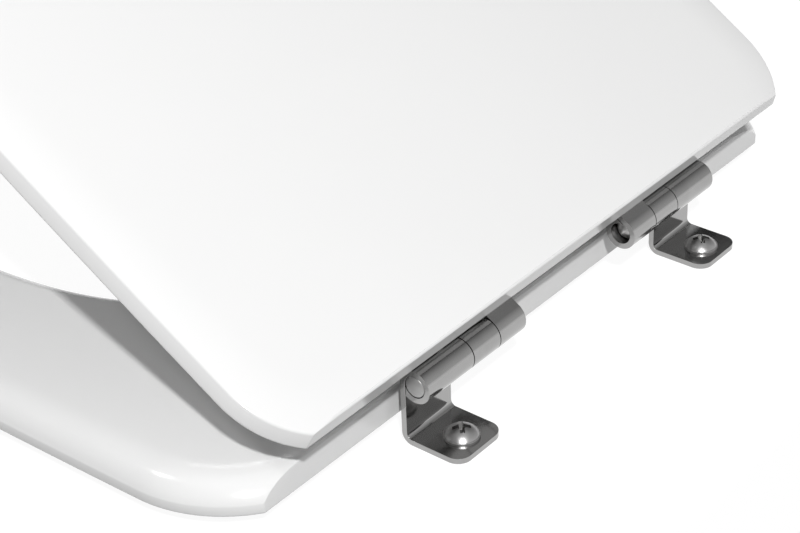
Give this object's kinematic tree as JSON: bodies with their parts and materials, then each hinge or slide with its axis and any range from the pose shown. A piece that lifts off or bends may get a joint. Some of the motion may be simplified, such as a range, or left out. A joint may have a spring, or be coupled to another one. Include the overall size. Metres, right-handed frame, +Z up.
{
  "type": "toilet seat",
  "caption": "Toilet seat with an open-centred ring and a flat lid, both turning on a pair of rolled strap hinges with screwed feet.",
  "frame": {"origin": "midway between the two fixing screws, on the plane that the hinge feet stand on", "axes": "+X along the hinge pins, to the right when seen from the front; -Y towards the front of the seat; +Z up; the fixing screws point along -Z"},
  "size_m": [0.3528, 0.4394, 0.2606],
  "materials": {
    "gloss_white": "smooth gloss",
    "hinge_steel": "polished stainless steel",
    "pin_steel": "polished stainless steel",
    "screw_steel": "polished stainless steel",
    "buffer": "matt, slightly soft"
  },
  "bodies": {
    "brackets": {"bracket_left": "hinge_steel", "bracket_right": "hinge_steel", "hinge_pin_left": "pin_steel", "hinge_pin_right": "pin_steel", "fixing_screw_left": "screw_steel", "fixing_screw_right": "screw_steel"},
    "ring": {"seat_ring": "gloss_white", "ring_leaf_left": "hinge_steel", "ring_leaf_right": "hinge_steel", "ring_leaf_screws_left": "screw_steel", "ring_leaf_screws_right": "screw_steel", "ring_buffer_front_left": "buffer", "ring_buffer_front_right": "buffer", "ring_buffer_rear_left": "buffer", "ring_buffer_rear_right": "buffer", "ring_buffer_screws": "screw_steel"},
    "lid": {"lid": "gloss_white", "lid_leaf_left": "hinge_steel", "lid_leaf_right": "hinge_steel", "lid_leaf_screws_left": "screw_steel", "lid_leaf_screws_right": "screw_steel", "lid_buffer_left": "buffer", "lid_buffer_right": "buffer", "lid_buffer_screws": "screw_steel"}
  },
  "joints": [
    {"name": "ring_hinge", "type": "hinge", "parent": "brackets", "child": "ring", "pos_m": [0, -0.01, 0.0255], "axis": [-1, 0, 0], "range_deg": [0, 90]},
    {"name": "lid_hinge", "type": "hinge", "parent": "ring", "child": "lid", "pos_m": [0, -0.01, 0.0255], "axis": [-1, 0, 0], "range_deg": [-32, 63]}
  ]
}
